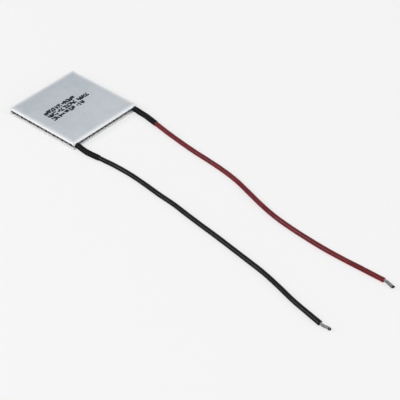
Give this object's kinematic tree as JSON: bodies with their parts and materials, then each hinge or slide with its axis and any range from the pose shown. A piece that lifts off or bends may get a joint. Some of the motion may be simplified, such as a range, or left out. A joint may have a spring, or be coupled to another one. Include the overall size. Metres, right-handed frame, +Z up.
{
  "type": "thermoelectric cooling module",
  "caption": "Flat square thermoelectric cooling module: ceramic plates over an open array of semiconductor legs joined by copper tabs, with insulated leads leaving one side.",
  "frame": {"origin": "centre of the hot plate's outer face, the underside of the module", "axes": "+Z up, out of the cold plate's face; -Y towards the edge that both leads leave; the black lead is at -X and the red lead at +X"},
  "size_m": [0.0569, 0.1938, 0.0033],
  "materials": {
    "ceramic": "fired alumina, matt with a faint satin, pale blue-grey face and whiter edges",
    "p_leg": "sawn p-type semiconductor, dark grey with a dull metallic lustre",
    "n_leg": "sawn n-type semiconductor, dark grey with a dull metallic lustre",
    "copper_tab": "tinned copper, satin",
    "solder": "frozen solder, soft shine",
    "tinned_wire": "tinned strands, soft shine",
    "black_insulation": "soft black plastic with a low sheen",
    "red_insulation": "soft dark red plastic with a low sheen",
    "black_sleeve": "shrunk black sleeve, matt, faintly ribbed"
  },
  "bodies": {
    "root": {"hot_plate": "ceramic", "cold_plate": "ceramic", "p_legs_column_01": "p_leg", "n_legs_column_01": "n_leg", "p_legs_column_02": "p_leg", "n_legs_column_02": "n_leg", "p_legs_column_03": "p_leg", "n_legs_column_03": "n_leg", "p_legs_column_04": "p_leg", "n_legs_column_04": "n_leg", "p_legs_column_05": "p_leg", "n_legs_column_05": "n_leg", "p_legs_column_06": "p_leg", "n_legs_column_06": "n_leg", "p_legs_column_07": "p_leg", "n_legs_column_07": "n_leg", "p_legs_column_08": "p_leg", "n_legs_column_08": "n_leg", "p_legs_column_09": "p_leg", "n_legs_column_09": "n_leg", "p_legs_column_10": "p_leg", "n_legs_column_10": "n_leg", "p_legs_column_11": "p_leg", "n_legs_column_11": "n_leg", "p_legs_column_12": "p_leg", "n_legs_column_12": "n_leg", "p_legs_column_13": "p_leg", "n_legs_column_13": "n_leg", "p_legs_column_14": "p_leg", "n_legs_column_14": "n_leg", "p_legs_column_15": "p_leg", "n_legs_column_15": "n_leg", "p_legs_column_16": "p_leg", "n_legs_column_16": "n_leg", "hot_tabs": "copper_tab", "cold_tabs": "copper_tab", "hot_solder": "solder", "cold_solder": "solder", "black_terminal_tab": "copper_tab", "red_terminal_tab": "copper_tab", "black_wire_end": "tinned_wire", "red_wire_end": "tinned_wire", "black_solder_joint": "solder", "red_solder_joint": "solder", "black_lead": "black_insulation", "red_lead": "red_insulation", "black_sleeve": "black_sleeve", "red_sleeve": "black_sleeve", "black_tip": "tinned_wire", "red_tip": "tinned_wire"}
  },
  "joints": []
}
